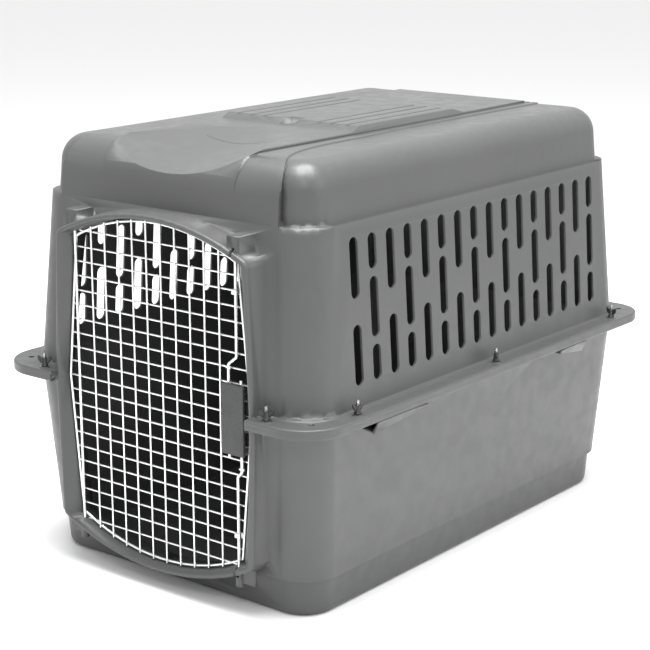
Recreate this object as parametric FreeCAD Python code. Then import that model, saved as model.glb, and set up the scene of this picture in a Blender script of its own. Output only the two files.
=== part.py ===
import FreeCAD, Part
import math
import os

Vector = FreeCAD.Vector

# Large pet transport carrier: a moulded bottom tub and top shell bolted together at a rim,
# with a hinged wire door in the front. X points right seen from the front, Y points to the
# back and Z points up. The origin is on the ground, in the middle of the rim's plan.

# Overall
rim_length = 1016.0
rim_width = 698.0
shell_top = 722.0
rim_seam = 328.0
rim_thickness = 8.5
rim_corner_front = 75.0
rim_corner_back = 65.0
rim_edge_round = 3.0

# Walls
wall = 4.0
taper = 0.066
side_overhang = 36.0
front_overhang = 41.0
back_overhang = 36.0
wall_corner = 62.0

# Bottom tub
base_step = 63.0
base_inset = 7.0
base_edge_round = 12.0

# Top shell
ledge_height = 627.0
upper_inset = 12.0
roll_radius = 46.0
bead_width = 9.0
bead_height = 2.5

# Hollow hand grips under the tub's rim: deep end, shallow end
grip_lips = [(-346.0, -214.0), (281.0, 194.0)]
grip_lip_deep = 21.0
grip_lip_shallow = 7.0
grip_lip_lean = 0.45
grip_lip_rise = 0.22
grip_lip_wall = 3.0

# Front panel and the strip that runs back over the roof
panel_half = 234.0
strip_half = 160.0
strip_rise = 2.0
strip_back = 395.0
front_roll = 63.0
seam_groove = 3.0
seam_depth = 2.0

# Raised middle of the roof, scoop at its front and ribbed platform
crown_half = 143.0
crown_rise = 6.0
crown_ramp = 20.0
crown_groove = 5.0
crown_groove_depth = 3.0
scoop_radius = 344.0
scoop_low = 684.0
scoop_slope = 10.0
platform_front = -150.0
platform_back = 174.0
platform_rise = 9.0
platform_ramp_front = 19.0
platform_ramp_back = 34.0
rib_groove_width = 7.0
rib_groove_depth = 2.5
rib_groove_places = [60.0, 88.0, 119.0]
grip_half = 16.0
grip_depth = 37.0
label_slot_half = 66.0
label_slot_width = 3.0
label_slot_depth = 1.5
label_slot_back = -283.0

# Side vents
vent_columns = 16
vent_pitch = 46.8
vent_middle = 7.0
vent_top = 604.0
vent_height = 233.0
vent_width = 21.0
vent_long = 96.0
vent_short = 56.8

# Wire door
door_setback = 33.7
door_top = 610.0
door_bottom = 47.5
door_arch = 387.0
door_half_top = 175.0
door_half_rim = 200.0
door_half_bottom = 178.0
frame_wire = 2.4
grid_wire = 1.6
column_count = 10
column_pitch = 30.7
row_count = 21
row_pitch = 24.6
row_low = 107.4
row_end_pitch = 27.7
weld_sink = 0.3
wire_end = 3.0
rod_half = 174.3

# Door surround
nose_setback = 16.3
surround_back = 60.0
opening_gap = 4.5
nose_thickness = 8.0
nose_round = 5.0
nose_arch = 450.0
nose_top = 616.0
nose_bottom = 40.0
nose_half_top = 198.0
nose_half_rim = 210.0
nose_half_bottom = 204.0
surround_draft = 4.0
surround_corner = 16.0

# Rod sockets
socket_half = 12.5
socket_front = 9.0
socket_low = 580.0
socket_top = 613.0
foot_socket_radius = 6.5
foot_socket_low = 46.0
gusset_thickness = 5.0
gusset_half = 205.0
pivot_gap = 0.05
keeper_gap = 0.4
rod_tip_gap = 3.0

# Squeeze latch
slide_gap = 0.4
latch_rod = 2.4
upper_travel = 20.0
lower_travel = 18.0
upper_rod_top = 591.0
lower_rod_low = 65.0
plate_middle = 170.3
plate_half_width = 22.3
plate_low = 265.0
plate_high = 379.5
plate_thickness = 5.0
plate_round = 1.5
rod_overlap_half = 12.6
jog_gap = 2.0
rod_tail = 7.0
foot_inset = 9.0
squeeze_bar = 9.0
bend_radius = 5.0
peg_radius = 1.8
anchor_radius = 2.0
spring_radius = 1.7
spring_wire = 0.45
spring_turns = 14
spring_end_gap = 0.3
foot_radius = 1.8
guide_half = 5.5
guide_height = 9.0

# Rim fasteners
bolt_radius = 3.0
bolt_hole = 3.5
bolt_head_radius = 6.5
bolt_head_height = 4.0
bolt_top = 24.0
washer_radius = 9.0
washer_height = 1.5
thread_gap = 0.05
nut_radius = 5.0
nut_height = 15.0
wing_reach = 12.5
wing_height = 18.0
wing_thickness = 3.0
bolt_inset = 17.0
side_bolt_places = [-378.0, 7.0, 397.0]
front_bolt_half = 244.0
back_bolt_half = 200.0
tie_hole = 5.0
tie_offset = 19.0

rim_half = rim_width / 2
rim_front = -rim_length / 2
rim_back = rim_length / 2
wall_half = rim_half - side_overhang
wall_front = rim_front + front_overhang
wall_back = rim_back - back_overhang
rim_top = rim_seam + rim_thickness
rim_low = rim_seam - rim_thickness
door_plane = rim_front + door_setback
nose_front = rim_front + nose_setback
strip_top = shell_top + strip_rise
crown_top = shell_top + crown_rise
platform_top = crown_top + platform_rise
row_plane = door_plane + grid_wire - 0.6
column_plane = row_plane - 2 * grid_wire + weld_sink
frame_plane = row_plane + weld_sink
hinge_plane = row_plane - grid_wire - frame_wire + weld_sink
latch_plane = frame_plane - frame_wire - latch_rod - slide_gap
far = 2000.0


def box(x0, x1, y0, y1, z0, z1):
    return Part.makeBox(x1 - x0, y1 - y0, z1 - z0, Vector(x0, y0, z0))


def drum(radius, height, x, y, z):
    return Part.makeCylinder(radius, height, Vector(x, y, z))


def rod(radius, start, end):
    return Part.makeCylinder(radius, (end - start).Length, start, end - start)


def rounded_rectangle(half, front, back, radius_front, radius_back, z):
    """Closed wire in the plane z, with its own radius at the front and back corners."""
    a = radius_front
    b = radius_back
    ca = a * (1 - math.sqrt(0.5))
    cb = b * (1 - math.sqrt(0.5))
    corners = [
        [(half, front + a), (half - ca, front + ca), (half - a, front)],
        [(-half + a, front), (-half + ca, front + ca), (-half, front + a)],
        [(-half, back - b), (-half + cb, back - cb), (-half + b, back)],
        [(half - b, back), (half - cb, back - cb), (half, back - b)],
    ]
    edges = []
    for index, corner in enumerate(corners):
        points = [Vector(x, y, z) for x, y in corner]
        edges.append(Part.Arc(points[0], points[1], points[2]).toShape())
        after = corners[(index + 1) % 4][0]
        edges.append(Part.LineSegment(points[2], Vector(after[0], after[1], z)).toShape())
    return Part.Wire(edges)


def wall_section(z, inset, up):
    """Plan of the body at height z. The walls lean in going away from the rim."""
    lean = taper * (z - rim_seam) * (1 if up else -1) + inset
    radius = wall_corner - inset
    return rounded_rectangle(wall_half - lean, wall_front + lean, wall_back - lean, radius, radius, z)


def wall_block(low, high, inset, up):
    return Part.makeLoft([wall_section(low, inset, up), wall_section(high, inset, up)], True, True)


def edges_at(shape, z):
    """Edges that lie wholly at height z."""
    found = []
    for edge in shape.Edges:
        limits = edge.BoundBox
        if abs(limits.ZMin - z) < 0.01 and abs(limits.ZMax - z) < 0.01:
            found.append(edge)
    return found


def joined(shapes):
    return shapes[0].fuse(shapes[1:]).removeSplitter()


def rim_plate(low, high, rounded):
    plate_wire = rounded_rectangle(rim_half, rim_front, rim_back, rim_corner_front, rim_corner_back, low)
    plate = Part.Face(plate_wire).extrude(Vector(0, 0, high - low))
    return plate.makeFillet(rim_edge_round, edges_at(plate, rounded))


# Door outline

def arch_height(apex, radius, x):
    return apex - (radius - math.sqrt(radius * radius - x * x))


def door_outline(y, top, bottom, radius, half_top, half_rim, half_bottom):
    """Barrel shaped closed wire: arched top and bottom, sides bent out at the rim."""
    high = arch_height(top, radius, half_top)
    low = 2 * bottom - arch_height(bottom, radius, half_bottom)
    right = [Vector(half_top, y, high), Vector(half_rim, y, rim_seam), Vector(half_bottom, y, low)]
    left = [Vector(-point.x, y, point.z) for point in reversed(right)]
    edges = [
        Part.Arc(left[2], Vector(0, y, top), right[0]).toShape(),
        Part.LineSegment(right[0], right[1]).toShape(),
        Part.LineSegment(right[1], right[2]).toShape(),
        Part.Arc(right[2], Vector(0, y, bottom), left[0]).toShape(),
        Part.LineSegment(left[0], left[1]).toShape(),
        Part.LineSegment(left[1], left[2]).toShape(),
    ]
    return Part.Wire(edges)


def opening_outline(y):
    return door_outline(
        y, door_top + opening_gap, door_bottom - opening_gap, door_arch + opening_gap,
        door_half_top + opening_gap, door_half_rim + opening_gap, door_half_bottom + opening_gap)


def nose_outline(y, grow):
    return door_outline(
        y, nose_top + grow, nose_bottom - grow, nose_arch + grow,
        nose_half_top + grow, nose_half_rim + grow, nose_half_bottom + grow)


def long_edges(shape, length):
    """Straight edges that run front to back over most of the given length."""
    found = []
    for edge in shape.Edges:
        if edge.BoundBox.YLength > length * 0.9:
            found.append(edge)
    return found


def surround_block():
    back = nose_front + surround_back
    front_wire = nose_outline(nose_front, nose_thickness)
    back_wire = nose_outline(back, nose_thickness + surround_draft)
    block = Part.makeLoft([front_wire, back_wire], True, True)
    block = block.makeFillet(surround_corner, long_edges(block, surround_back))
    front_edges = [edge for edge in block.Edges if edge.BoundBox.YMax < nose_front + 0.01]
    return block.makeFillet(nose_round, front_edges)


def doorway_cut():
    """Flares from the door out to the nose, and runs straight back through the wall."""
    flare = Part.makeLoft([nose_outline(nose_front, 0), opening_outline(door_plane)], True, True)
    through = Part.Face(opening_outline(door_plane)).extrude(Vector(0, surround_back, 0))
    ahead = Part.Face(nose_outline(nose_front, 0)).extrude(Vector(0, -nose_setback - 1, 0))
    return joined([flare, through, ahead])


def socket_blocks(side):
    """Keeper block above the surround, foot socket and gusset below it."""
    x = side * rod_half
    back = nose_front + surround_back - 2
    keeper = box(x - socket_half, x + socket_half, door_plane - socket_front, back, socket_low, socket_top)
    foot = drum(foot_socket_radius, row_low - row_pitch - foot_socket_low, x, hinge_plane, foot_socket_low)
    edge = sorted([x + side * foot_socket_radius / 2, side * gusset_half])
    low = foot_socket_low + foot_socket_radius
    gusset = box(edge[0], edge[1], hinge_plane, hinge_plane + gusset_thickness, low, row_low - row_pitch)
    web = box(x - gusset_thickness / 2, x + gusset_thickness / 2, hinge_plane, back, low,
              row_low - row_pitch)
    return [keeper.makeFillet(2.0, edges_at(keeper, socket_top)), foot, gusset, web]


def rod_space():
    """Closed pivot holes on the left, keepers open to the front on the right."""
    pivot = frame_wire + pivot_gap
    hinge = drum(pivot, hinge_top - hinge_low + 2 * rod_tip_gap, -rod_half, hinge_plane,
                 hinge_low - rod_tip_gap)
    slot = latch_rod + keeper_gap
    upper = box(rod_half - slot, rod_half + slot, rim_front, latch_plane, rim_top,
                upper_rod_top + rod_tip_gap)
    upper_seat = drum(slot, upper_rod_top + rod_tip_gap - rim_top, rod_half, latch_plane, rim_top)
    lower = box(rod_half - slot, rod_half + slot, rim_front, latch_plane,
                lower_rod_low - rod_tip_gap, rim_low)
    lower_seat = drum(slot, rim_low - lower_rod_low + rod_tip_gap, rod_half, latch_plane,
                      lower_rod_low - rod_tip_gap)
    return joined([hinge]), joined([upper, upper_seat]), joined([lower, lower_seat])


hinge_top = socket_top - rod_tip_gap - wall
hinge_low = foot_socket_low + rod_tip_gap + wall


# Roof

def front_line(z, inset):
    return wall_front + taper * (z - rim_seam) + inset


def side_profile(inset, top, low, back):
    """Closed face in the plane x = 0: leaning front, large round, flat roof."""
    radius = front_roll - inset
    lean = math.atan(taper)
    tangent = radius * math.tan((math.pi / 2 - lean) / 2)
    corner_y = front_line(top, inset)
    foot = Vector(0, front_line(low, inset), low)
    start = Vector(0, corner_y - tangent * math.sin(lean), top - tangent * math.cos(lean))
    end = Vector(0, corner_y + tangent, top)
    centre = Vector(0, end.y, top - radius)
    outward = ((start + end) * 0.5 - centre).normalize()
    bend = centre + outward * radius
    edges = [
        Part.LineSegment(foot, start).toShape(),
        Part.Arc(start, bend, end).toShape(),
        Part.LineSegment(end, Vector(0, back, top)).toShape(),
        Part.LineSegment(Vector(0, back, top), Vector(0, back, low)).toShape(),
        Part.LineSegment(Vector(0, back, low), foot).toShape(),
    ]
    return Part.Face(Part.Wire(edges))


def strip_plan(grow, low, high):
    """Wide at the front panel and sweeping in to the narrow strip along the roof."""
    sweep = [
        (panel_half, wall_front - 3), (panel_half - 3, wall_front + 27),
        (0.75 * panel_half + 0.25 * strip_half, wall_front + 57),
        (0.32 * panel_half + 0.68 * strip_half, wall_front + 121),
        (0.09 * panel_half + 0.91 * strip_half, wall_front + 231),
        (strip_half, wall_front + 407),
    ]
    curve = Part.BSplineCurve()
    curve.interpolate([Vector(x + grow, y, low) for x, y in sweep])
    right = curve.toShape()
    half_back = strip_half + grow
    front = wall_front - 3
    half_front = panel_half + grow
    end = strip_back + grow
    points = [Vector(half_back, sweep[-1][1], low), Vector(half_back, end, low),
              Vector(-half_back, end, low), Vector(-half_back, sweep[-1][1], low)]
    left = right.mirror(Vector(0, 0, 0), Vector(1, 0, 0))
    edges = [right]
    for first, second in zip(points[:-1], points[1:]):
        edges.append(Part.LineSegment(first, second).toShape())
    edges.append(left)
    edges.append(Part.LineSegment(Vector(-half_front, front, low), Vector(half_front, front, low)).toShape())
    outline = Part.Wire(Part.__sortEdges__(edges))
    return Part.Face(outline).extrude(Vector(0, 0, high - low))


def panel_block(inset):
    low = ledge_height - 40
    profile = side_profile(inset, strip_top - inset, low, strip_back - inset)
    slab = profile.extrude(Vector(2 * far, 0, 0))
    slab.translate(Vector(-far, 0, 0))
    return slab.common(strip_plan(-inset, low, strip_top + 50))


def upper_block(inset):
    low = ledge_height - 1 - (wall if inset > 0 else 0)
    block = wall_block(low, shell_top - inset, upper_inset + inset, True)
    return block.makeFillet(roll_radius - inset, edges_at(block, shell_top - inset))


def ramp_block(half, points):
    corners = [Vector(-half, y, z) for y, z in points]
    face = Part.Face(Part.makePolygon(corners + corners[:1]))
    return face.extrude(Vector(2 * half, 0, 0))


def crown_block():
    """Stands above the strip and dies out in the front panel's round."""
    low = ledge_height + 20
    profile = side_profile(0, crown_top, low, strip_back - crown_ramp)
    slab = profile.extrude(Vector(2 * crown_half, 0, 0))
    slab.translate(Vector(-crown_half, 0, 0))
    return slab


def platform_block():
    low = shell_top
    points = [(platform_front, low), (platform_front, crown_top),
              (platform_front + platform_ramp_front, platform_top),
              (platform_back - platform_ramp_back, platform_top), (platform_back, crown_top),
              (platform_back, low)]
    return ramp_block(crown_half, points)


def platform_hollow():
    front = platform_front + platform_ramp_front + grip_depth
    back = platform_back - platform_ramp_back
    return box(-crown_half + wall, crown_half - wall, front, back, shell_top - 3 * wall,
               platform_top - wall)


def platform_cuts():
    cuts = []
    for place in rib_groove_places:
        for side in (-1, 1):
            x = side * place
            cuts.append(box(x - rib_groove_width / 2, x + rib_groove_width / 2, platform_front,
                            platform_back, platform_top - rib_groove_depth, platform_top + 1))
    cuts.append(box(-grip_half, grip_half, platform_front - 1, platform_front + grip_depth,
                    crown_top - 2, platform_top + 1))
    return cuts


def scoop(radius):
    """Hollow that meets the front in a crescent."""
    slope = math.radians(scoop_slope)
    direction = Vector(0, math.cos(slope), math.sin(slope))
    lowest = Vector(0, front_line(scoop_low, 0), scoop_low)
    upward = Vector(0, -math.sin(slope), math.cos(slope))
    start = lowest + upward * scoop_radius - direction * 100
    return Part.makeCylinder(radius, 500, start, direction)


def crown_grooves():
    cuts = []
    for side in (-1, 1):
        edge = sorted([side * crown_half, side * (crown_half + crown_groove)])
        cuts.append(box(edge[0], edge[1], wall_front + front_roll, strip_back,
                        strip_top - crown_groove_depth, strip_top + 1))
    return cuts


def label_slot():
    """Bare arched slot above the scoop."""
    bow = 420.0
    y = label_slot_back
    low = shell_top - 40
    outer = drum(bow, 80, 0, y + bow, low)
    inner = drum(bow - label_slot_width, 80, 0, y + bow, low)
    ring = outer.cut(inner).common(box(-label_slot_half, label_slot_half, y - 1, y + 20, low, low + 80))
    return ring.common(scoop(scoop_radius + label_slot_depth))


def top_outer():
    lower = wall_block(rim_seam, ledge_height, 0, True)
    upper = upper_block(0)
    band = strip_plan(seam_groove, ledge_height + 8, strip_top + 50)
    band = band.cut(strip_plan(-seam_groove, ledge_height + 7, strip_top + 51))
    core = upper_block(seam_depth)
    upper = upper.cut(band.cut(core))
    return joined([lower, upper, panel_block(0), crown_block(), platform_block()])


def top_inner():
    lower = wall_block(rim_seam - 1, ledge_height - wall, wall, True)
    space = joined([lower, upper_block(wall), panel_block(wall + strip_rise)])
    return space.cut(scoop(scoop_radius + wall))


def bead(low, up):
    height = bead_height * (1 if up else -1)
    outer = Part.Face(wall_section(rim_seam, -bead_width, up))
    block = outer.extrude(Vector(0, 0, height))
    block.translate(Vector(0, 0, low - rim_seam))
    return block


def vent_slot(y, z, length):
    """Upright slot with round ends, cut along X at the right wall."""
    radius = vent_width / 2
    depth = 120.0
    start = wall_half - depth + 20
    parts = [box(start, start + depth, y - radius, y + radius, z + radius, z + length - radius)]
    for end in (z + radius, z + length - radius):
        parts.append(Part.makeCylinder(radius, depth, Vector(start, y, end), Vector(1, 0, 0)))
    return parts[0].fuse(parts[1:])


def vent_column(y, long_pair):
    low = vent_top - vent_height
    if long_pair:
        return [vent_slot(y, low, vent_long), vent_slot(y, vent_top - vent_long, vent_long)]
    gap = (vent_height - vent_long - 2 * vent_short) / 2
    return [vent_slot(y, low, vent_short), vent_slot(y, low + vent_short + gap, vent_long),
            vent_slot(y, vent_top - vent_short, vent_short)]


def vent_cuts():
    right = []
    left = []
    for column in range(vent_columns):
        y = vent_middle + (column - (vent_columns - 1) / 2) * vent_pitch
        right += vent_column(y, column % 2 == 0)
        left += vent_column(y, column % 2 == 1)
    left = [slot.mirror(Vector(0, 0, 0), Vector(1, 0, 0)) for slot in left]
    return right + left


# Fasteners

def bolt_places():
    places = []
    for side in (-1, 1):
        places.append((side * front_bolt_half, rim_front + bolt_inset))
        places += [(side * (rim_half - bolt_inset), y) for y in side_bolt_places]
        places.append((side * back_bolt_half, rim_back - bolt_inset))
    return places


def tie_places():
    reach = (wall_corner + tie_offset) * math.sqrt(0.5)
    x = wall_half - wall_corner + reach
    front = wall_front + wall_corner - reach
    back = wall_back - wall_corner + reach
    return [(side * x, y) for side in (-1, 1) for y in (front, back)]


def rim_holes():
    holes = [drum(bolt_hole, 60, x, y, rim_seam - 30) for x, y in bolt_places()]
    holes += [drum(tie_hole, 60, x, y, rim_seam - 30) for x, y in tie_places()]
    return holes


def bolt(x, y):
    head = Part.Face(hexagon(bolt_head_radius, x, y, rim_low)).extrude(Vector(0, 0, -bolt_head_height))
    shank = drum(bolt_radius, rim_top + bolt_top - rim_low, x, y, rim_low)
    shank = shank.makeChamfer(0.8, edges_at(shank, rim_top + bolt_top))
    return joined([head, shank])


def hexagon(radius, x, y, z):
    corners = []
    for step in range(6):
        angle = math.radians(60 * step)
        corners.append(Vector(x + radius * math.cos(angle), y + radius * math.sin(angle), z))
    return Part.makePolygon(corners + corners[:1])


def washer(x, y):
    plate = drum(washer_radius, washer_height, x, y, rim_top)
    return plate.cut(drum(bolt_radius + 0.2, washer_height + 2, x, y, rim_top - 1))


def wing(side, x, y, z):
    """One upright ear, leaning out and rounded at its top."""
    half = wing_thickness / 2
    inner = nut_radius * 0.5
    low = nut_height * 0.3
    points = [(inner, low), (nut_radius + 1, low), (wing_reach, wing_height - 5),
              (wing_reach, wing_height - 2), (wing_reach - 2, wing_height),
              (nut_radius + 2, wing_height - 2), (inner, nut_height - 1)]
    corners = [Vector(side * a, -half, b) for a, b in points]
    ear = Part.Face(Part.makePolygon(corners + corners[:1])).extrude(Vector(0, wing_thickness, 0))
    ear.translate(Vector(x, y, z))
    return ear


def wing_nut(x, y, turn):
    z = rim_top + washer_height
    hub = Part.makeCone(nut_radius + 1, nut_radius - 1, nut_height, Vector(x, y, z))
    nut = joined([hub, wing(-1, x, y, z), wing(1, x, y, z)])
    nut = nut.cut(drum(bolt_radius + thread_gap, 40, x, y, z - 10))
    nut.rotate(Vector(x, y, z), Vector(0, 0, 1), turn)
    return nut


# Shells

def front_notch():
    """The rim stops at the outer sides of the surround."""
    edge = nose_half_rim + nose_thickness / 2
    return box(-edge, edge, rim_front - 1, wall_front - 1, rim_low - 1, rim_top + 1)


def half_space(low, high):
    return box(-far, far, -far, far, low, high)


def surround_pieces(low, high):
    parts = [surround_block()]
    for side in (-1, 1):
        parts += socket_blocks(side)
    return joined(parts).common(half_space(low, high))


def top_shell():
    rim = rim_plate(rim_seam, rim_top, rim_top).cut(front_notch())
    outer = joined([top_outer(), rim, bead(rim_top, True).cut(front_notch()), surround_pieces(rim_seam, far)])
    hinge, upper, lower = rod_space()
    body = outer.cut([top_inner(), platform_hollow(), scoop(scoop_radius), doorway_cut(), hinge, upper])
    return body.cut(vent_cuts() + rim_holes() + platform_cuts() + crown_grooves() + [label_slot()])


def lip_section(side, y, drop, inset):
    """Outer edge, leaning lip and the web that rises back to the tub's wall."""
    low = rim_low - drop
    wall_x = wall_half - wall / 2 + inset
    foot_x = rim_half - inset - grip_lip_lean * drop
    points = [
        Vector(side * (rim_half - 0.5 - inset), y, rim_low),
        Vector(side * foot_x, y, low + inset),
        Vector(side * wall_x, y, low + grip_lip_rise * drop + inset),
        Vector(side * wall_x, y, rim_low),
    ]
    return Part.makePolygon(points + points[:1])


def grip_lip(side, deep_end, shallow_end):
    """Open at its deep end, closed at its shallow one."""
    outward = math.copysign(1, deep_end - shallow_end)
    mouth = deep_end + outward
    closed = shallow_end + outward * grip_lip_wall
    outer = Part.makeLoft([lip_section(side, deep_end, grip_lip_deep, 0),
                           lip_section(side, shallow_end, grip_lip_shallow, 0)], True, True)
    hollow = Part.makeLoft([lip_section(side, mouth, grip_lip_deep, grip_lip_wall),
                            lip_section(side, closed, grip_lip_shallow, grip_lip_wall)], True, True)
    return outer.cut(hollow)


def bottom_shell():
    tub = wall_block(base_step, rim_seam, 0, False)
    base = wall_block(0, base_step, base_inset, False)
    base = base.makeFillet(base_edge_round, edges_at(base, 0))
    rim = rim_plate(rim_low, rim_seam, rim_low).cut(front_notch())
    surround = surround_pieces(-far, rim_seam)
    lips = [grip_lip(side, deep, shallow) for side in (-1, 1) for deep, shallow in grip_lips]
    outer = joined([tub, base, rim, bead(rim_low, False).cut(front_notch()), surround] + lips)
    inner_tub = wall_block(base_step + wall, rim_seam + 1, wall, False)
    inner_base = wall_block(wall, base_step + wall + 1, base_inset + wall, False)
    inner_base = inner_base.makeFillet(base_edge_round - wall, edges_at(inner_base, wall))
    hinge, upper, lower = rod_space()
    return outer.cut([inner_tub, inner_base, doorway_cut(), hinge, lower] + rim_holes())


# Door wires

def perimeter_wire():
    outline = door_outline(frame_plane, door_top, door_bottom, door_arch, door_half_top, door_half_rim,
                           door_half_bottom)
    start = Vector(0, frame_plane, door_top)
    section = Part.Wire(Part.makeCircle(frame_wire, start, Vector(1, 0, 0)))
    return sweep_closed(outline, section)


def sweep_closed(outline, section):
    solid = outline.makePipeShell([section], True, False, 2)
    return solid


def door_side(z):
    """Half width of the door at height z."""
    high = arch_height(door_top, door_arch, door_half_top)
    low = 2 * door_bottom - arch_height(door_bottom, door_arch, door_half_bottom)
    if z > high:
        return math.sqrt(door_arch ** 2 - (z - door_top + door_arch) ** 2)
    if z < low:
        return math.sqrt(door_arch ** 2 - (door_bottom + door_arch - z) ** 2)
    if z > rim_seam:
        part = (z - rim_seam) / (high - rim_seam)
        return door_half_rim + part * (door_half_top - door_half_rim)
    part = (rim_seam - z) / (rim_seam - low)
    return door_half_rim + part * (door_half_bottom - door_half_rim)


def row_heights():
    heights = [row_low + row_pitch * step for step in range(row_count - 2)]
    return [row_low - row_end_pitch] + heights + [heights[-1] + row_end_pitch]


def horizontal_wires():
    wires = []
    for z in row_heights():
        reach = door_side(z)
        wires.append(rod(grid_wire, Vector(-reach, row_plane, z), Vector(reach, row_plane, z)))
    return Part.makeCompound(wires)


def vertical_wires():
    wires = []
    for column in range(column_count):
        x = (column - (column_count - 1) / 2) * column_pitch
        top = arch_height(door_top, door_arch, x) + wire_end
        low = 2 * door_bottom - arch_height(door_bottom, door_arch, x) - wire_end
        wires.append(rod(grid_wire, Vector(x, column_plane, low), Vector(x, column_plane, top)))
    return Part.makeCompound(wires)


def bent_rod(points, radius):
    """Round bar along straight runs joined by tangent bends."""
    edges = []
    here = points[0]
    for index in range(1, len(points) - 1):
        corner = points[index]
        back = (points[index - 1] - corner).normalize()
        ahead = (points[index + 1] - corner).normalize()
        half_turn = back.getAngle(ahead) / 2
        reach = bend_radius / math.tan(half_turn)
        centre = corner + (back + ahead).normalize() * (bend_radius / math.sin(half_turn))
        first = corner + back * reach
        last = corner + ahead * reach
        middle = centre + (corner - centre).normalize() * bend_radius
        edges.append(Part.LineSegment(here, first).toShape())
        edges.append(Part.Arc(first, middle, last).toShape())
        here = last
    edges.append(Part.LineSegment(here, points[-1]).toShape())
    path = Part.Wire(edges)
    section = Part.Wire(Part.makeCircle(radius, points[0], points[1] - points[0]))
    return path.makePipeShell([section], True, False, 2)


def latch_bar(tip, jog, tail, x_tail, foot_height):
    """Bar with a jog beside the plate, a squeeze bar on the jog and a foot for the spring."""
    y = latch_plane
    step = abs(x_tail - rod_half) / 2 + bend_radius
    away = 1 if tip > jog else -1
    bar = bent_rod([Vector(rod_half, y, tip), Vector(rod_half, y, jog + away * step),
                    Vector(x_tail, y, jog), Vector(x_tail, y, tail)], latch_rod)
    foot = rod(foot_radius, Vector(x_tail, y, foot_height), Vector(plate_middle, y, foot_height))
    grip = jog - away * bend_radius
    squeeze = rod(latch_rod, Vector(x_tail - squeeze_bar / 2, y, grip), Vector(x_tail + squeeze_bar / 2, y, grip))
    return joined([bar, foot, squeeze])


upper_jog = plate_high + upper_travel + jog_gap + latch_rod + bend_radius
lower_jog = plate_low - lower_travel - jog_gap - latch_rod - bend_radius
upper_foot = plate_low + foot_inset
lower_foot = plate_high - foot_inset
anchor_height = (plate_low + plate_high) / 2


def upper_latch_rod():
    return latch_bar(upper_rod_top, upper_jog, plate_low - rod_tail, plate_middle - rod_overlap_half,
                     upper_foot)


def lower_latch_rod():
    return latch_bar(lower_rod_low, lower_jog, plate_high + rod_tail, plate_middle + rod_overlap_half,
                     lower_foot)


def plate_body(y0, y1, outside):
    x0 = plate_middle - plate_half_width
    x1 = plate_middle + plate_half_width
    plate = box(x0, x1, y0, y1, plate_low, plate_high)
    corners = [edge for edge in plate.Edges if edge.BoundBox.YLength > abs(y1 - y0) - 0.1]
    plate = plate.makeFillet(3.0, corners)
    rounded = [edge for edge in plate.Edges
               if abs(edge.BoundBox.YMin - outside) < 0.01 and abs(edge.BoundBox.YMax - outside) < 0.01]
    return plate.makeFillet(plate_round, rounded)


def peg_places():
    side = plate_half_width - 2 * peg_radius
    rows = row_heights()
    middles = [(low + high) / 2 for low, high in zip(rows[:-1], rows[1:])]
    inside = [z for z in middles if plate_low + 6 < z < plate_high - 6]
    return [(plate_middle + turn * side, z) for turn in (-1, 1) for z in (inside[0], inside[-1])]


front_plate_back = latch_plane - latch_rod - slide_gap
back_plate_front = row_plane + grid_wire


def latch_front_plate():
    front = front_plate_back - plate_thickness
    parts = [plate_body(front, front_plate_back, front)]
    for x, z in peg_places():
        parts.append(rod(peg_radius, Vector(x, front_plate_back, z), Vector(x, back_plate_front, z)))
    parts.append(rod(anchor_radius, Vector(plate_middle, front_plate_back, anchor_height),
                     Vector(plate_middle, back_plate_front - grid_wire * 2, anchor_height)))
    return joined(parts)


def latch_back_plate():
    back = back_plate_front + plate_thickness
    return plate_body(back_plate_front, back, back)


def latch_spring(low, high):
    """Close wound tension spring on the line of the feet."""
    height = high - low
    helix = Part.makeHelix(height / spring_turns, height, spring_radius)
    section = Part.Wire(Part.makeCircle(spring_wire, Vector(spring_radius, 0, 0), Vector(0, 1, 0)))
    coil = Part.Wire(helix).makePipeShell([section], True, True)
    coil.translate(Vector(plate_middle, latch_plane, low))
    return coil


def rod_guide(z):
    """Block clipped on one cross wire, with a running hole for the latch rod."""
    front = latch_plane - guide_half
    block = box(rod_half - guide_half, rod_half + guide_half, front, row_plane - grid_wire + weld_sink,
                z - guide_height / 2, z + guide_height / 2)
    rounded = [edge for edge in block.Edges if edge.BoundBox.YMax < front + 0.01]
    block = block.makeFillet(2.5, rounded)
    return block.cut(drum(latch_rod + pivot_gap, guide_height + 10, rod_half, latch_plane, z - 10))


def hinge_rod():
    return rod(frame_wire, Vector(-rod_half, hinge_plane, hinge_low), Vector(-rod_half, hinge_plane, hinge_top))


def all_parts():
    rows = row_heights()
    anchor = anchor_radius + spring_end_gap + spring_wire
    foot = foot_radius + spring_end_gap + spring_wire
    nodes = {
        "bottom_shell": bottom_shell(),
        "top_shell": top_shell(),
        "door_perimeter_wire": perimeter_wire(),
        "door_vertical_wires": vertical_wires(),
        "door_horizontal_wires": horizontal_wires(),
        "hinge_rod": hinge_rod(),
        "latch_upper_rod": upper_latch_rod(),
        "latch_lower_rod": lower_latch_rod(),
        "latch_front_plate": latch_front_plate(),
        "latch_back_plate": latch_back_plate(),
        "latch_upper_spring": latch_spring(upper_foot + foot, anchor_height - anchor),
        "latch_lower_spring": latch_spring(anchor_height + anchor, lower_foot - foot),
        "upper_rod_guide": rod_guide(rows[-3]),
        "lower_rod_guide": rod_guide(rows[2]),
        "rim_bolts": Part.makeCompound([bolt(x, y) for x, y in bolt_places()]),
        "rim_washers": Part.makeCompound([washer(x, y) for x, y in bolt_places()]),
    }
    for index, place in enumerate(bolt_places()):
        nodes["wing_nut_%02d" % (index + 1)] = wing_nut(place[0], place[1], 25 + 40 * index)
    return nodes


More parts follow.
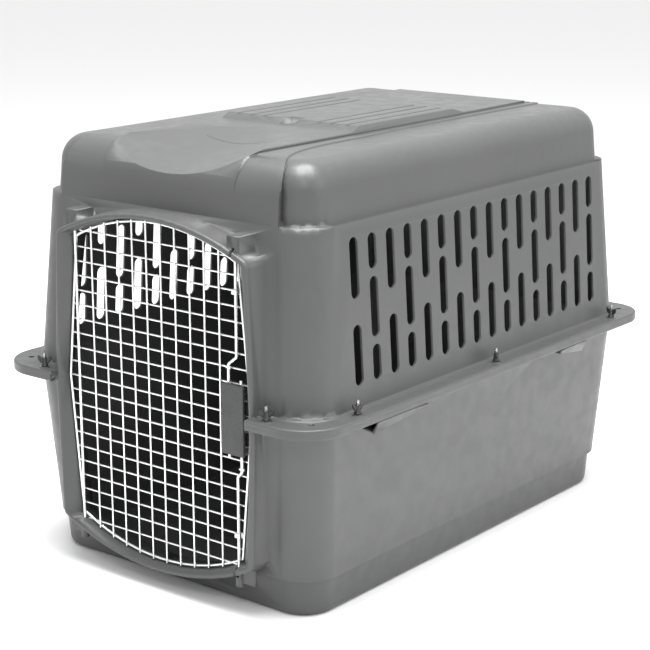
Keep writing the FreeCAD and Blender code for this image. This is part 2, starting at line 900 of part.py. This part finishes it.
os.makedirs("parts", exist_ok=True)
for node_name, shape in all_parts().items():
    shape.exportStep("parts/" + node_name + ".step")
    print(node_name, len(shape.Solids), shape.isValid(), round(shape.Volume / 1000, 1))
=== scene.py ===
import math

import bmesh
import bpy
from mathutils import Matrix, Vector


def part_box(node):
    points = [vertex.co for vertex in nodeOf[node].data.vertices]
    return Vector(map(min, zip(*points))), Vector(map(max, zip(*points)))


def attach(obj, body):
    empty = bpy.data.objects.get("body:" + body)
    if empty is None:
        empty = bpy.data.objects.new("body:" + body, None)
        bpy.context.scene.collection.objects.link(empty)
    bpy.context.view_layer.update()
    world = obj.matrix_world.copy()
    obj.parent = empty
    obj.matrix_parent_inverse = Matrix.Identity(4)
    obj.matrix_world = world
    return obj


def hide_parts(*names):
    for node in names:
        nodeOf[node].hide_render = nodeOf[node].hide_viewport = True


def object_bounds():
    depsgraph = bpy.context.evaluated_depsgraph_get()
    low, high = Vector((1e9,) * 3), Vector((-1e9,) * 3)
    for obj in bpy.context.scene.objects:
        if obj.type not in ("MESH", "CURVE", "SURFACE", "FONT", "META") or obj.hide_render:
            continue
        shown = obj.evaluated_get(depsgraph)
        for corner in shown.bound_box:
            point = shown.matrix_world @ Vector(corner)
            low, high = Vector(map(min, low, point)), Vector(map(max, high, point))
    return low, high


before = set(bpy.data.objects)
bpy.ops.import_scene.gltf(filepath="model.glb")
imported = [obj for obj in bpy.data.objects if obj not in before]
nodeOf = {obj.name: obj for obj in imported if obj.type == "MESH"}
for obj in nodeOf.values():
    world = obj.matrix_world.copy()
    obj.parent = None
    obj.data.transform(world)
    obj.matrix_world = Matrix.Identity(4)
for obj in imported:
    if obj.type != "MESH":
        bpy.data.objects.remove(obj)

cadLow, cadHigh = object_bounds()
print("frame loaded:", len(nodeOf), "nodes")


# helpers for node trees

def addNode(tree, kind, inputs=None, **settings):
    node = tree.nodes.new(kind)
    for key, value in settings.items():
        setattr(node, key, value)
    for key, value in (inputs or {}).items():
        if isinstance(value, bpy.types.NodeSocket):
            tree.links.new(value, node.inputs[key])
        else:
            node.inputs[key].default_value = value
    return node


def newMaterial(name):
    material = bpy.data.materials.new(name)
    material.use_nodes = True
    tree = material.node_tree
    return material, tree, tree.nodes["Principled BSDF"]


def objectNoise(tree, scale, detail, stretch=(1, 1, 1)):
    place = addNode(tree, "ShaderNodeTexCoord")
    mapping = addNode(tree, "ShaderNodeMapping", {"Vector": place.outputs["Object"], "Scale": stretch})
    noise = addNode(tree, "ShaderNodeTexNoise",
                    {"Vector": mapping.outputs[0], "Scale": scale, "Detail": detail})
    return noise.outputs["Fac"]


def ramped(tree, source, stops):
    ramp = addNode(tree, "ShaderNodeValToRGB", {"Fac": source})
    elements = ramp.color_ramp.elements
    for element, (position, colour) in zip(elements, stops):
        element.position = position
        element.color = colour
    return ramp.outputs["Color"]


def grey(value, tint=0.0):
    return (value, value * (1 + tint * 0.5), value * (1 + tint), 1)  # tint leans towards blue


# finishes

shellFinish = {
    "colour": 0.066, "mottle": 0.004, "flowScale": 3.2, "tint": 0.02,
    "roughLow": 0.34, "roughHigh": 0.46, "scuffScale": 38.0,
    "grainScale": 900.0, "grainDepth": 0.00008, "grainStrength": 0.30,
    "edgeRound": 0.0014, "sheen": 0.5,
}
latchFinish = dict(
    shellFinish, colour=0.036, mottle=0.010, flowScale=420.0, roughLow=0.45, roughHigh=0.60,
    grainScale=1300.0, grainStrength=0.6, edgeRound=0.0006)
nutFinish = dict(
    shellFinish, colour=0.014, mottle=0.003, roughLow=0.32, roughHigh=0.48, edgeRound=0.0004)


def makePlastic(name, s):
    material, tree, shader = newMaterial(name)
    flow = objectNoise(tree, s["flowScale"], 4.0, (1, 1, 0.6))  # slow colour drift from the mould
    low, high = s["colour"] - s["mottle"], s["colour"] + s["mottle"]
    tone = ramped(tree, flow, [(0.3, grey(low, s["tint"])), (0.7, grey(high, s["tint"]))])
    scuff = objectNoise(tree, s["scuffScale"], 6.0)
    rough = ramped(tree, scuff, [(0.35, grey(s["roughLow"])), (0.65, grey(s["roughHigh"]))])
    place = addNode(tree, "ShaderNodeTexCoord")
    pebble = addNode(tree, "ShaderNodeTexVoronoi",
                     {"Vector": place.outputs["Object"], "Scale": s["grainScale"]}, feature="SMOOTH_F1")
    soft = addNode(tree, "ShaderNodeBevel", {"Radius": s["edgeRound"]}, samples=4)
    bump = addNode(tree, "ShaderNodeBump",
                   {"Strength": s["grainStrength"], "Distance": s["grainDepth"],
                    "Height": pebble.outputs["Distance"], "Normal": soft.outputs["Normal"]})
    tree.links.new(tone, shader.inputs["Base Color"])
    tree.links.new(rough, shader.inputs["Roughness"])
    tree.links.new(bump.outputs["Normal"], shader.inputs["Normal"])
    shader.inputs["IOR"].default_value = 1.49
    shader.inputs["Specular IOR Level"].default_value = s["sheen"]
    return material


wireFinish = {
    "colour": 0.86, "cloudDepth": 0.10, "cloudScale": 55.0, "metal": 0.85,
    "roughLow": 0.16, "roughHigh": 0.30, "drawScale": 260.0, "drawDepth": 0.00004,
}
springFinish = dict(wireFinish, colour=0.55, metal=1.0, roughLow=0.24, roughHigh=0.38)
boltFinish = dict(wireFinish, colour=0.36, metal=1.0, roughLow=0.28, roughHigh=0.48, cloudScale=180.0)


def makeMetal(name, s):
    material, tree, shader = newMaterial(name)
    shader.inputs["Metallic"].default_value = s["metal"]
    cloud = objectNoise(tree, s["cloudScale"], 5.0)  # cloudy zinc
    low = s["colour"] - s["cloudDepth"]
    tone = ramped(tree, cloud, [(0.3, grey(low, 0.02)), (0.7, grey(s["colour"], 0.01))])
    rough = ramped(tree, cloud, [(0.3, grey(s["roughHigh"])), (0.7, grey(s["roughLow"]))])
    lines = objectNoise(tree, s["drawScale"], 3.0, (6, 6, 1))  # faint drawing lines
    bump = addNode(tree, "ShaderNodeBump", {"Strength": 0.2, "Distance": s["drawDepth"], "Height": lines})
    tree.links.new(tone, shader.inputs["Base Color"])
    tree.links.new(rough, shader.inputs["Roughness"])
    tree.links.new(bump.outputs["Normal"], shader.inputs["Normal"])
    return material


shellPlastic = makePlastic("shellPlastic", shellFinish)
latchPlastic = makePlastic("latchPlastic", latchFinish)
nutPlastic = makePlastic("nutPlastic", nutFinish)
platedWire = makeMetal("platedWire", wireFinish)
springSteel = makeMetal("springSteel", springFinish)
boltSteel = makeMetal("boltSteel", boltFinish)
print("finishes made")


def paint(nodeName, material):
    slots = nodeOf[nodeName].material_slots
    for place in slots:
        place.material = material
    if not slots:
        nodeOf[nodeName].data.materials.append(material)


nodeFinish = {
    "top_shell": shellPlastic, "bottom_shell": shellPlastic,
    "latch_front_plate": latchPlastic, "latch_back_plate": latchPlastic,
    "latch_upper_spring": springSteel, "latch_lower_spring": springSteel,
    "rim_bolts": boltSteel, "rim_washers": boltSteel,
}
for nodeName in nodeOf:
    other = nutPlastic if nodeName.startswith("wing_nut") else platedWire
    paint(nodeName, nodeFinish.get(nodeName, other))
print("carried-over nodes painted")


# pieces from meshes

def addPiece(name, mesh, body, slot, *replaced):
    mesh.name = name
    piece = bpy.data.objects.new(name, mesh)
    bpy.context.scene.collection.objects.link(piece)
    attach(piece, body)
    if replaced:
        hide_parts(*replaced)
    return piece


def shadeSmooth(mesh, degrees):
    mesh.polygons.foreach_set("use_smooth", [True] * len(mesh.polygons))
    mesh.set_sharp_from_angle(angle=math.radians(degrees))


skinSettings = {"mergeDistance": 0.000002, "sharpAngle": 32.0}


def addSkin(nodeName, pieceName, body, slot, material):
    mesh = nodeOf[nodeName].data.copy()
    shape = bmesh.new()
    shape.from_mesh(mesh)
    bmesh.ops.remove_doubles(shape, verts=shape.verts, dist=skinSettings["mergeDistance"])
    shape.to_mesh(mesh)
    shape.free()
    mesh.materials.clear()
    mesh.materials.append(material)
    shadeSmooth(mesh, skinSettings["sharpAngle"])
    piece = addPiece(pieceName, mesh, body, slot, nodeName)
    weigh = piece.modifiers.new("weigh", "WEIGHTED_NORMAL")  # large faces lead the shading
    weigh.keep_sharp = True
    return piece


addSkin("top_shell", "topShell", "shell", "shell_plastic", shellPlastic)
addSkin("bottom_shell", "bottomTub", "shell", "shell_plastic", shellPlastic)
addSkin("door_perimeter_wire", "doorFrameWire", "door", "door_wire", platedWire)
addSkin("hinge_rod", "hingeRod", "door", "door_wire", platedWire)
addSkin("latch_upper_rod", "upperLatchRod", "upper_latch", "door_wire", platedWire)
addSkin("latch_lower_rod", "lowerLatchRod", "lower_latch", "door_wire", platedWire)
addSkin("latch_front_plate", "latchFrontPlate", "door", "latch_plastic", latchPlastic)
addSkin("latch_back_plate", "latchBackPlate", "door", "latch_plastic", latchPlastic)
print("smooth skins laid")


# node trees for what repeats: named number inputs, a realized and painted result

def newTree(name, numbers, material):
    tree = bpy.data.node_groups.new(name, "GeometryNodeTree")
    tree.interface.new_socket("Geometry", in_out="INPUT", socket_type="NodeSocketGeometry")
    for label, value in numbers.items():
        kind = "NodeSocketInt" if isinstance(value, int) else "NodeSocketFloat"
        tree.interface.new_socket(label, in_out="INPUT", socket_type=kind)
    tree.interface.new_socket("Geometry", in_out="OUTPUT", socket_type="NodeSocketGeometry")
    start = addNode(tree, "NodeGroupInput")
    last = addNode(tree, "NodeGroupOutput")
    real = addNode(tree, "GeometryNodeRealizeInstances")
    painted = addNode(tree, "GeometryNodeSetMaterial", {"Geometry": real.outputs[0], "Material": material})
    tree.links.new(painted.outputs[0], last.inputs[0])
    return tree, start.outputs, real.inputs[0]


def calc(tree, operation, first, second=None):
    node = addNode(tree, "ShaderNodeMath", operation=operation)
    for place, value in enumerate((first, second)):
        if isinstance(value, bpy.types.NodeSocket):
            tree.links.new(value, node.inputs[place])
        elif value is not None:
            node.inputs[place].default_value = value
    return node.outputs[0]


def bakeTree(name, tree, numbers, points=()):
    mesh = bpy.data.meshes.new(name + "Points")
    mesh.from_pydata(points, [], [])
    holder = bpy.data.objects.new(name + "Holder", mesh)
    bpy.context.scene.collection.objects.link(holder)
    modifier = holder.modifiers.new("grow", "NODES")
    modifier.node_group = tree
    for item in tree.interface.items_tree:
        if item.in_out == "INPUT" and item.name in numbers:
            modifier[item.identifier] = numbers[item.name]
    graph = bpy.context.evaluated_depsgraph_get()
    result = bpy.data.meshes.new_from_object(holder.evaluated_get(graph))
    holder.modifiers.remove(modifier)
    bpy.data.objects.remove(holder)
    return result


# door mesh: upright wires in front, cross wires behind, a weld nugget at each crossing

uprightLow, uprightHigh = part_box("door_vertical_wires")
crossLow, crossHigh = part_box("door_horizontal_wires")
doorGrid = {
    "Columns": 10, "Column Pitch": 0.0307, "Rows": 21, "Row Pitch": 0.0246, "Row End Pitch": 0.0277,
    "Row Low": 0.1074, "Wire Radius": 0.0016,
    "Upright Plane": (uprightLow.y + uprightHigh.y) / 2, "Cross Plane": (crossLow.y + crossHigh.y) / 2,
    "Door Top": 0.610, "Door Bottom": 0.0475, "Arch": 0.387, "Wire End": 0.003,
    "Half Top": 0.175, "Half Rim": 0.200, "Half Bottom": 0.178, "Rim Height": 0.328,
    "Nugget Radius": 0.0021,
}


def fall(tree, n, across):
    # how far the arched frame wire has dropped at this distance from the middle
    flat = calc(tree, "SQRT", calc(tree, "SUBTRACT", calc(tree, "POWER", n["Arch"], 2.0),
                                   calc(tree, "POWER", across, 2.0)))
    return calc(tree, "SUBTRACT", n["Arch"], flat)


def lineOf(tree, count):
    line = addNode(tree, "GeometryNodeMeshLine", {"Count": count, "Offset": (0, 0, 0)})
    return line.outputs[0], addNode(tree, "GeometryNodeInputIndex").outputs[0]


def placed(tree, points, x, y, z):
    spot = addNode(tree, "ShaderNodeCombineXYZ")
    for label, value in (("X", x), ("Y", y), ("Z", z)):
        if isinstance(value, bpy.types.NodeSocket):
            tree.links.new(value, spot.inputs[label])
        else:
            spot.inputs[label].default_value = value
    moved = addNode(tree, "GeometryNodeSetPosition", {"Geometry": points, "Position": spot.outputs[0]})
    return moved.outputs[0]


def columnPlace(tree, n, index):
    middle = calc(tree, "DIVIDE", calc(tree, "SUBTRACT", n["Columns"], 1.0), 2.0)
    return calc(tree, "MULTIPLY", calc(tree, "SUBTRACT", index, middle), n["Column Pitch"])


def rowPlace(tree, n, index):
    # the two end rows stand one longer pitch out from the evenly spaced ones
    last = calc(tree, "SUBTRACT", n["Rows"], 3.0)
    step = calc(tree, "MINIMUM", calc(tree, "MAXIMUM", calc(tree, "SUBTRACT", index, 1.0), 0.0), last)
    isFirst = calc(tree, "LESS_THAN", index, 0.5)
    isLast = calc(tree, "GREATER_THAN", index, calc(tree, "SUBTRACT", n["Rows"], 1.5))
    ends = calc(tree, "MULTIPLY", calc(tree, "SUBTRACT", isLast, isFirst), n["Row End Pitch"])
    even = calc(tree, "ADD", n["Row Low"], calc(tree, "MULTIPLY", step, n["Row Pitch"]))
    return calc(tree, "ADD", even, ends)


def wireStick(tree, n, length):
    stick = addNode(tree, "GeometryNodeMeshCylinder",
                    {"Vertices": 14, "Radius": n["Wire Radius"], "Depth": 1.0})
    scale = addNode(tree, "ShaderNodeCombineXYZ", {"X": 1.0, "Y": 1.0, "Z": length})
    return stick.outputs["Mesh"], scale.outputs[0]


def doorSide(tree, n, height):
    # the sides lean in from the rim, both up and down
    def lean(ends, far, sign):
        rise = calc(tree, "ABSOLUTE", calc(tree, "SUBTRACT", far, n["Rim Height"]))
        gone = calc(tree, "MULTIPLY", calc(tree, "SUBTRACT", height, n["Rim Height"]), sign)
        part = calc(tree, "MAXIMUM", calc(tree, "DIVIDE", gone, rise), 0.0)
        return calc(tree, "MULTIPLY", part, calc(tree, "SUBTRACT", ends, n["Half Rim"]))
    high = calc(tree, "SUBTRACT", n["Door Top"], fall(tree, n, n["Half Top"]))
    low = calc(tree, "ADD", n["Door Bottom"], fall(tree, n, n["Half Bottom"]))
    change = calc(tree, "ADD", lean(n["Half Top"], high, 1.0), lean(n["Half Bottom"], low, -1.0))
    return calc(tree, "ADD", n["Half Rim"], change)


def makeDoorGrid(numbers):
    tree, n, result = newTree("doorGrid", numbers, platedWire)
    points, index = lineOf(tree, n["Columns"])
    x = columnPlace(tree, n, index)
    drop = fall(tree, n, x)
    top = calc(tree, "ADD", calc(tree, "SUBTRACT", n["Door Top"], drop), n["Wire End"])
    low = calc(tree, "SUBTRACT", calc(tree, "ADD", n["Door Bottom"], drop), n["Wire End"])
    middle = calc(tree, "DIVIDE", calc(tree, "ADD", top, low), 2.0)
    uprights = placed(tree, points, x, n["Upright Plane"], middle)
    stick, scale = wireStick(tree, n, calc(tree, "SUBTRACT", top, low))
    columns = addNode(tree, "GeometryNodeInstanceOnPoints",
                      {"Points": uprights, "Instance": stick, "Scale": scale})
    points, index = lineOf(tree, n["Rows"])
    z = rowPlace(tree, n, index)
    levels = placed(tree, points, 0.0, n["Cross Plane"], z)
    stick, scale = wireStick(tree, n, calc(tree, "MULTIPLY", doorSide(tree, n, z), 2.0))
    rows = addNode(tree, "GeometryNodeInstanceOnPoints",
                   {"Points": levels, "Instance": stick, "Scale": scale, "Rotation": (0, math.pi / 2, 0)})
    points, index = lineOf(tree, n["Columns"])
    crossY = calc(tree, "DIVIDE", calc(tree, "SUBTRACT", n["Upright Plane"], n["Cross Plane"]), 2.0)
    acrossPoints = placed(tree, points, columnPlace(tree, n, index), crossY, 0.0)
    spots = addNode(tree, "GeometryNodeInstanceOnPoints", {"Points": levels, "Instance": acrossPoints})
    spread = addNode(tree, "GeometryNodeRealizeInstances", {"Geometry": spots.outputs[0]})
    nugget = addNode(tree, "GeometryNodeMeshUVSphere",
                     {"Segments": 8, "Rings": 5, "Radius": n["Nugget Radius"]})
    welds = addNode(tree, "GeometryNodeInstanceOnPoints",
                    {"Points": spread.outputs[0], "Instance": nugget.outputs["Mesh"]})
    together = addNode(tree, "GeometryNodeJoinGeometry")
    for part in (columns, rows, welds):
        tree.links.new(part.outputs[0], together.inputs[0])
    tree.links.new(together.outputs[0], result)
    mesh = bakeTree("doorGrid", tree, numbers)
    shadeSmooth(mesh, 50)
    return addPiece("doorGrid", mesh, "door", "door_wire", "door_vertical_wires", "door_horizontal_wires")


makeDoorGrid(doorGrid)
print("door grid made")


# rim bolts: hexagon head below, threaded shank above, one under each wing nut

nutNames = sorted(name for name in nodeOf if name.startswith("wing_nut"))
nutCentres = []
for nutName in nutNames:
    nutLow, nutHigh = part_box(nutName)
    nutCentres.append(((nutLow.x + nutHigh.x) / 2, (nutLow.y + nutHigh.y) / 2, nutLow.z))
boltLow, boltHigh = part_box("rim_bolts")
tipHeight = 0.0008
headHeight = 0.004
rimBolt = {
    "Core Radius": 0.00255, "Thread Radius": 0.00278, "Thread Depth": 0.00034, "Turns": 26.0,
    "Thread Share": 0.97, "Shank Low": boltLow.z + headHeight, "Shank High": boltHigh.z - tipHeight,
    "Tip Radius": 0.0020, "Tip Height": tipHeight,
    "Head Radius": 0.0065, "Head Low": boltLow.z, "Head Height": headHeight,
}


def raised(tree, part, height):
    lift = addNode(tree, "ShaderNodeCombineXYZ", {"Z": height})
    return addNode(tree, "GeometryNodeTransform", {"Geometry": part, "Translation": lift.outputs[0]})


def makeRimBolts(numbers, centres):
    tree, n, result = newTree("rimBolts", numbers, boltSteel)
    span = calc(tree, "SUBTRACT", n["Shank High"], n["Shank Low"])
    middle = calc(tree, "DIVIDE", calc(tree, "ADD", n["Shank High"], n["Shank Low"]), 2.0)
    core = addNode(tree, "GeometryNodeMeshCylinder",
                   {"Vertices": 20, "Radius": n["Core Radius"], "Depth": span})
    coreUp = raised(tree, core.outputs["Mesh"], middle)
    tip = addNode(tree, "GeometryNodeMeshCone",
                  {"Vertices": 20, "Radius Top": n["Tip Radius"], "Radius Bottom": n["Core Radius"],
                   "Depth": n["Tip Height"]})
    tipUp = raised(tree, tip.outputs["Mesh"], n["Shank High"])
    coilHeight = calc(tree, "MULTIPLY", span, n["Thread Share"])
    coil = addNode(tree, "GeometryNodeCurveSpiral",
                   {"Resolution": 14, "Rotations": n["Turns"], "Start Radius": n["Thread Radius"],
                    "End Radius": n["Thread Radius"], "Height": coilHeight})
    ridge = addNode(tree, "GeometryNodeCurvePrimitiveCircle",
                    {"Resolution": 4, "Radius": n["Thread Depth"]})
    thread = addNode(tree, "GeometryNodeCurveToMesh",
                     {"Curve": coil.outputs[0], "Profile Curve": ridge.outputs["Curve"], "Fill Caps": True})
    threadUp = raised(tree, thread.outputs[0], n["Shank Low"])
    head = addNode(tree, "GeometryNodeMeshCylinder",
                   {"Vertices": 6, "Radius": n["Head Radius"], "Depth": n["Head Height"]})
    headMiddle = calc(tree, "ADD", n["Head Low"], calc(tree, "DIVIDE", n["Head Height"], 2.0))
    headUp = raised(tree, head.outputs["Mesh"], headMiddle)
    together = addNode(tree, "GeometryNodeJoinGeometry")
    for part in (coreUp, tipUp, threadUp, headUp):
        tree.links.new(part.outputs[0], together.inputs[0])
    each = addNode(tree, "GeometryNodeInstanceOnPoints",
                   {"Points": n["Geometry"], "Instance": together.outputs[0]})
    tree.links.new(each.outputs[0], result)
    mesh = bakeTree("rimBolts", tree, numbers, [(x, y, 0) for x, y, z in centres])
    shadeSmooth(mesh, 40)
    return addPiece("rimBolts", mesh, "shell", "bolt_steel", "rim_bolts")


makeRimBolts(rimBolt, nutCentres)
print("rim bolts made")


# wing nuts: a tapered hub with two rounded ears, turned as each CAD nut is

wingNut = {
    "boreRadius": 0.0031, "footRadius": 0.0060, "waistRadius": 0.0047, "topRadius": 0.0040,
    "hubHeight": 0.0150, "collar": 0.0022, "collarSlope": 0.0012, "hubRound": 0.0004, "hubSteps": 32,
    "earThick": 0.0029, "earRound": 0.0009,
    "earOutline": [
        (0.0030, 0.0046), (0.0060, 0.0048), (0.0085, 0.0068), (0.0112, 0.0100), (0.0123, 0.0132),
        (0.0124, 0.0158), (0.0115, 0.0174), (0.0098, 0.0178), (0.0080, 0.0166), (0.0064, 0.0146),
        (0.0050, 0.0132), (0.0030, 0.0128)],
}


def hubShape(shape, s):
    off, top = s["hubRound"], s["hubHeight"]
    profile = [(s["boreRadius"], 0), (s["footRadius"] - off, 0), (s["footRadius"], off),
               (s["footRadius"], s["collar"]), (s["waistRadius"], s["collar"] + s["collarSlope"]),
               (s["topRadius"], top - off), (s["topRadius"] - off, top), (s["boreRadius"], top)]
    rings = []
    for step in range(s["hubSteps"]):
        turn = 2 * math.pi * step / s["hubSteps"]
        rings.append([shape.verts.new((r * math.cos(turn), r * math.sin(turn), z)) for r, z in profile])
    for step, ring in enumerate(rings):
        after = rings[(step + 1) % len(rings)]
        for place in range(len(profile)):
            ahead = (place + 1) % len(profile)
            shape.faces.new((ring[place], after[place], after[ahead], ring[ahead]))


def earShape(shape, s, side):
    half = s["earThick"] / 2
    front = [shape.verts.new((side * x, -half, z)) for x, z in s["earOutline"]]
    back = [shape.verts.new((side * x, half, z)) for x, z in s["earOutline"]]
    faces = [shape.faces.new(front), shape.faces.new(back[::-1])]
    for place in range(len(front)):
        ahead = (place + 1) % len(front)
        faces.append(shape.faces.new((front[ahead], front[place], back[place], back[ahead])))
    edges = [edge for edge in shape.edges if edge.verts[0] in front and edge.verts[1] in front]
    edges += [edge for edge in shape.edges if edge.verts[0] in back and edge.verts[1] in back]
    bmesh.ops.bevel(shape, geom=edges, offset=s["earRound"], segments=3, affect="EDGES")


def nutTurn(nutName, centre):
    # the highest points of the CAD nut lie on its two ears
    points = [vertex.co - Vector(centre) for vertex in nodeOf[nutName].data.vertices]
    top = max(point.z for point in points)
    angles = [2 * math.atan2(point.y, point.x) for point in points if point.z > top - 0.0012]
    across = sum(math.cos(angle) for angle in angles)
    along = sum(math.sin(angle) for angle in angles)
    return math.atan2(along, across) / 2


def makeWingNut(number, nutName, centre, s):
    shape = bmesh.new()
    hubShape(shape, s)
    earShape(shape, s, 1)
    earShape(shape, s, -1)
    bmesh.ops.remove_doubles(shape, verts=shape.verts, dist=0.000001)
    bmesh.ops.recalc_face_normals(shape, faces=shape.faces)
    spot = Matrix.Translation(centre) @ Matrix.Rotation(nutTurn(nutName, centre), 4, "Z")
    bmesh.ops.transform(shape, matrix=spot, verts=shape.verts)
    mesh = bpy.data.meshes.new("wingNut")
    shape.to_mesh(mesh)
    shape.free()
    mesh.materials.append(nutPlastic)
    shadeSmooth(mesh, 45)
    addPiece("wingNut" + number, mesh, nutName, "nut_plastic", nutName)


for nutName, centre in zip(nutNames, nutCentres):
    makeWingNut(nutName[-2:], nutName, centre, wingNut)
print("wing nuts made")



# camera, lights and floor

viewSettings = {
    "place": (1.9124, -2.4443, 1.1498), "azimuth": 38.52, "elevation": 14.47, "lens": 98.33,
}


def addCamera(s):
    camera = bpy.data.objects.new("camera", bpy.data.cameras.new("camera"))
    bpy.context.scene.collection.objects.link(camera)
    camera.location = s["place"]
    camera.rotation_euler = (math.radians(90 - s["elevation"]), 0, math.radians(s["azimuth"]))
    camera.data.lens = s["lens"]
    camera.data.sensor_width = 36
    bpy.context.scene.camera = camera


lightSettings = {
    "overhead": {"place": (0.3, -0.2, 3.4), "size": 2.4, "power": 250.0},
    "rightWindow": {"place": (3.4, 0.6, 1.8), "size": 1.8, "power": 26.0},
    "cornerSpark": {"place": (2.4, -2.9, 3.1), "size": 0.45, "power": 24.0},
}


def addLight(name, s):
    light = bpy.data.lights.new(name, "AREA")
    light.shape = "SQUARE"
    light.size = s["size"]
    light.energy = s["power"]
    lamp = bpy.data.objects.new(name, light)
    bpy.context.scene.collection.objects.link(lamp)
    lamp.location = s["place"]
    aim = Vector((0, 0, 0.4)) - Vector(s["place"])
    lamp.rotation_euler = aim.to_track_quat("-Z", "Y").to_euler()


floorSettings = {"half": 12.0, "colour": 0.86, "rough": 0.9, "skyStrength": 1.0}


def addFloor(s):
    half = s["half"]
    mesh = bpy.data.meshes.new("floor")
    corners = [(-half, -half, 0), (half, -half, 0), (half, half, 0), (-half, half, 0)]
    mesh.from_pydata([(x, y, cadLow.z - 0.0005) for x, y, z in corners], [], [(0, 1, 2, 3)])
    floor = bpy.data.objects.new("floor", mesh)
    bpy.context.scene.collection.objects.link(floor)
    material, tree, shader = newMaterial("paleFloor")
    shader.inputs["Base Color"].default_value = grey(s["colour"])
    shader.inputs["Roughness"].default_value = s["rough"]
    mesh.materials.append(material)
    world = bpy.data.worlds.new("studio")
    world.use_nodes = True
    backdrop = world.node_tree.nodes["Background"]
    backdrop.inputs["Color"].default_value = grey(1.0)
    backdrop.inputs["Strength"].default_value = s["skyStrength"]
    bpy.context.scene.world = world


addCamera(viewSettings)
for lightName, settings in lightSettings.items():
    addLight(lightName, settings)
addFloor(floorSettings)
bpy.context.scene.view_settings.view_transform = "Standard"
print("camera, lights and floor placed")
